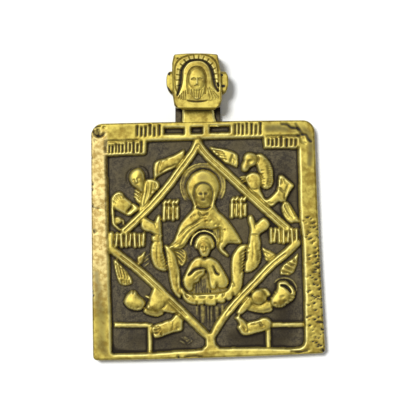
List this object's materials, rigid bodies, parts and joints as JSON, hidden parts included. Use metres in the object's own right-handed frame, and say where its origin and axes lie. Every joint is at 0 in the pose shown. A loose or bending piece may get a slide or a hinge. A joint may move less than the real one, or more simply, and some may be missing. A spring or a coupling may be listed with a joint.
{
  "type": "bronze icon",
  "caption": "Small cast copper-alloy travelling icon: relief plate in a raised frame, with a thick headpiece that a cord passes through.",
  "frame": {"origin": "centre of the bounding box at the height of the flat back, which the icon lies on", "axes": "+Z out of the relief's front, +Y along the icon towards its headpiece, +X to the right as the relief is seen"},
  "size_m": [0.056, 0.0732, 0.0086],
  "materials": {
    "worn_brass": "worn and rubbed bright on the high parts, with dark brown patina in the recesses"
  },
  "bodies": {
    "root": {"bronze_icon": "worn_brass"}
  },
  "joints": []
}
